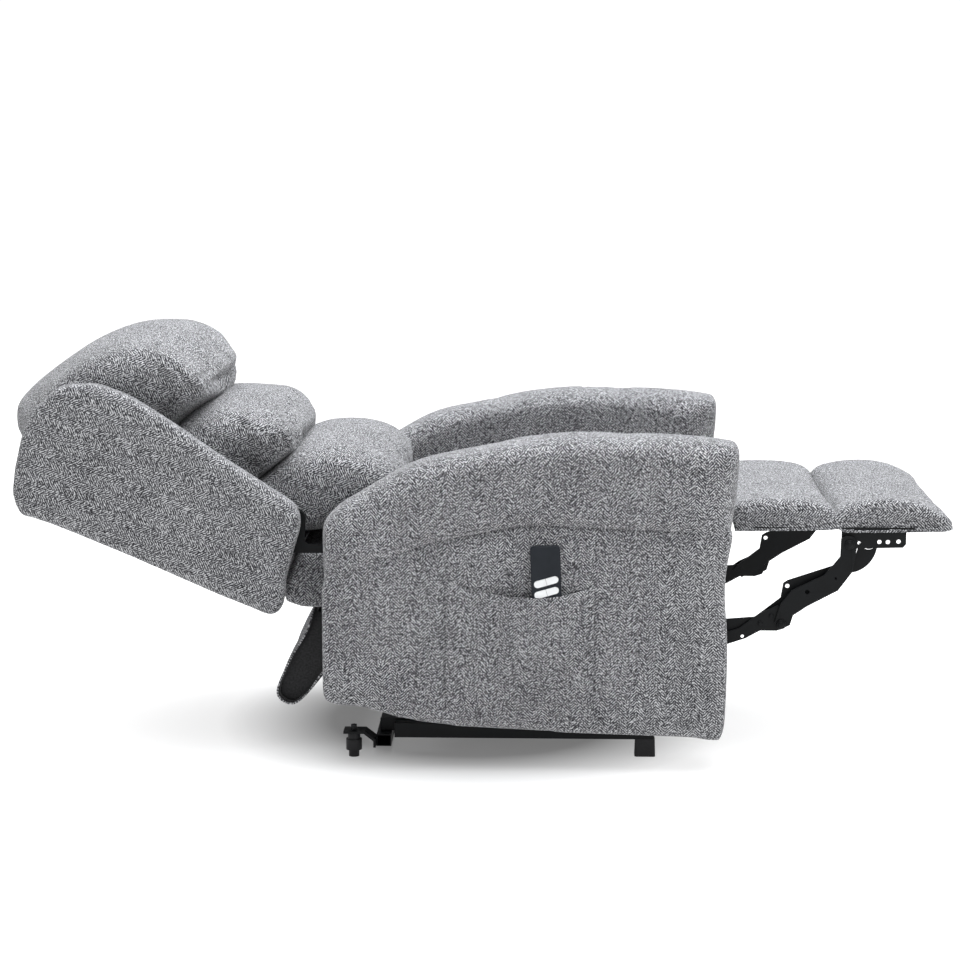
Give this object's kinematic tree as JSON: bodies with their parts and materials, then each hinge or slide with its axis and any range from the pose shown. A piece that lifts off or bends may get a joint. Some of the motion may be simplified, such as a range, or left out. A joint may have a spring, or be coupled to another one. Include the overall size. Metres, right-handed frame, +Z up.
{
  "type": "lift recliner chair",
  "caption": "Powered lift recliner chair, fully reclined: fabric arms with padded tops, winged back with stacked pillows, footrest on scissor links, low steel lift base and side pocket handset.",
  "frame": {"origin": "on the floor, under the middle of the whole reclined chair", "axes": "+Z up; the footrest points along -Y and the head end along +Y; +X is the sitter's left, -X the side with the pocket"},
  "size_m": [0.859, 1.902, 0.848],
  "materials": {
    "fabric": "matte",
    "lining": "matte",
    "black_steel": "satin",
    "zinc_steel": "satin",
    "spring_steel": "satin",
    "black_plastic": "matte",
    "handset_plastic": "satin",
    "button_white": "satin",
    "wood": "matte"
  },
  "bodies": {
    "base": {"base_rail_left": "black_steel", "base_rail_right": "black_steel", "base_front_tube": "black_steel", "base_rear_tube": "black_steel", "front_feet": "black_plastic", "rear_foot_brackets": "black_steel", "rear_glides": "black_plastic", "base_pivot_brackets": "black_steel", "lift_motor_clevis": "black_steel"},
    "lift_arms": {"rear_lift_links": "black_steel", "lift_shaft": "black_steel"},
    "lift_struts": {"front_lift_links": "black_steel"},
    "lift_motor": {"lift_motor_housing": "black_plastic"},
    "lift_rod": {"lift_motor_rod": "zinc_steel"},
    "seat_frame": {"side_plate_left": "black_steel", "side_plate_right": "black_steel", "seat_cross_tubes": "black_steel", "seat_rails": "wood", "seat_springs": "spring_steel", "seat_cushion": "fabric", "arm_panel_left": "fabric", "arm_panel_right": "fabric", "arm_pad_left": "fabric", "arm_pad_right": "fabric", "side_pocket": "fabric", "recline_brackets": "black_steel", "rear_flap": "lining"},
    "back_motor": {"back_motor_housing": "black_plastic"},
    "back_rod": {"back_motor_rod": "zinc_steel"},
    "backrest": {"back_outer_panel": "fabric", "back_frame_rails": "black_steel", "recline_pins": "zinc_steel", "back_cross_tubes": "black_steel", "back_core_pad": "fabric", "lower_back_panel": "fabric", "back_crank": "black_steel", "back_wing_left": "fabric", "back_wing_right": "fabric", "headrest_pillow": "fabric", "middle_pillow": "fabric", "lumbar_pillow": "fabric"},
    "lower_links": {"lower_link_left": "black_steel", "lower_link_right": "black_steel", "footrest_shaft": "black_steel"},
    "upper_links": {"upper_link_left": "black_steel", "upper_link_right": "black_steel"},
    "long_links": {"long_link_left": "black_steel", "long_link_right": "black_steel"},
    "hook_links": {"hook_link_left": "black_steel", "hook_link_right": "black_steel"},
    "footrest": {"footrest_bracket_left": "black_steel", "footrest_bracket_right": "black_steel", "footrest_boards": "wood", "calf_pad": "fabric", "foot_pad": "fabric"},
    "handset": {"handset_shell": "handset_plastic"},
    "back_up_button": {"back_up_button": "button_white"},
    "back_down_button": {"back_down_button": "button_white"},
    "foot_up_button": {"foot_up_button": "button_white"},
    "foot_down_button": {"foot_down_button": "button_white"}
  },
  "joints": [
    {"name": "lift", "type": "hinge", "parent": "base", "child": "lift_arms", "pos_m": [0, -0.276, 0.08], "axis": [1, 0, 0], "range_deg": [0, 75]},
    {"name": "seat_tilt", "type": "hinge", "parent": "lift_arms", "child": "seat_frame", "pos_m": [0, 0.024, 0.12], "axis": [1, 0, 0], "range_deg": [-60, 0]},
    {"name": "front_lift_link", "type": "hinge", "parent": "base", "child": "lift_struts", "pos_m": [0, -0.321, 0.105], "axis": [1, 0, 0], "range_deg": [0, 75.8]},
    {"name": "lift_motor_swing", "type": "hinge", "parent": "base", "child": "lift_motor", "pos_m": [0, 0.124, 0.06], "axis": [1, 0, 0], "range_deg": [0, 3]},
    {"name": "lift_rod", "type": "slide", "parent": "lift_motor", "child": "lift_rod", "axis": [0, -0.9816, 0.1909], "range_m": [0, 0.06993]},
    {"name": "recline", "type": "hinge", "parent": "seat_frame", "child": "backrest", "pos_m": [0, 0.346, 0.48], "axis": [1, 0, 0], "range_deg": [0, 57], "deforming": ["rear_flap"]},
    {"name": "back_motor_swing", "type": "hinge", "parent": "seat_frame", "child": "back_motor", "pos_m": [0, -0.071, 0.19], "axis": [1, 0, 0], "range_deg": [-8.5, 0]},
    {"name": "back_rod", "type": "slide", "parent": "back_motor", "child": "back_rod", "axis": [0, 0.9056, 0.4241], "range_m": [0, 0.1391]},
    {"name": "footrest", "type": "hinge", "parent": "seat_frame", "child": "lower_links", "pos_m": [0, -0.382, 0.198], "axis": [1, 0, 0], "range_deg": [-64, 0]},
    {"name": "long_link", "type": "hinge", "parent": "lower_links", "child": "long_links", "pos_m": [0, -0.6241, 0.2719], "axis": [1, 0, 0], "range_deg": [0, 196]},
    {"name": "footrest_turn", "type": "hinge", "parent": "long_links", "child": "footrest", "pos_m": [0, -0.757, 0.435], "axis": [1, 0, 0], "range_deg": [-42, 0]},
    {"name": "upper_link", "type": "hinge", "parent": "seat_frame", "child": "upper_links", "pos_m": [0, -0.366, 0.254], "axis": [1, 0, 0], "range_deg": [-77.01, 0]},
    {"name": "hook_link", "type": "hinge", "parent": "upper_links", "child": "hook_links", "pos_m": [0, -0.5804, 0.2713], "axis": [1, 0, 0], "range_deg": [0, 192.1]},
    {"name": "handset_pull", "type": "slide", "parent": "seat_frame", "child": "handset", "axis": [0, 0, 1], "range_m": [0, 0.12]},
    {"name": "back_up_press", "type": "slide", "parent": "handset", "child": "back_up_button", "axis": [1, 0, 0], "range_m": [0, 0.001], "stiffness_N_per_m": 400},
    {"name": "back_down_press", "type": "slide", "parent": "handset", "child": "back_down_button", "axis": [1, 0, 0], "range_m": [0, 0.001], "stiffness_N_per_m": 400},
    {"name": "foot_up_press", "type": "slide", "parent": "handset", "child": "foot_up_button", "axis": [1, 0, 0], "range_m": [0, 0.001], "stiffness_N_per_m": 400},
    {"name": "foot_down_press", "type": "slide", "parent": "handset", "child": "foot_down_button", "axis": [1, 0, 0], "range_m": [0, 0.001], "stiffness_N_per_m": 400}
  ],
  "couplings": [
    {"joint": "seat_tilt", "follows": "lift", "ratio": -0.8},
    {"joint": "front_lift_link", "follows": "lift", "ratio": 1.01},
    {"joint": "lift_motor_swing", "follows": "lift", "ratio": 0.039662},
    {"joint": "lift_rod", "follows": "lift", "m_per_rad": 0.053381},
    {"joint": "back_motor_swing", "follows": "recline", "ratio": -0.14852},
    {"joint": "back_rod", "follows": "recline", "m_per_rad": 0.1397},
    {"joint": "long_link", "follows": "footrest", "ratio": -3.0625},
    {"joint": "footrest_turn", "follows": "footrest", "ratio": 0.65625},
    {"joint": "upper_link", "follows": "footrest", "ratio": 1.2031},
    {"joint": "hook_link", "follows": "footrest", "ratio": -3}
  ]
}
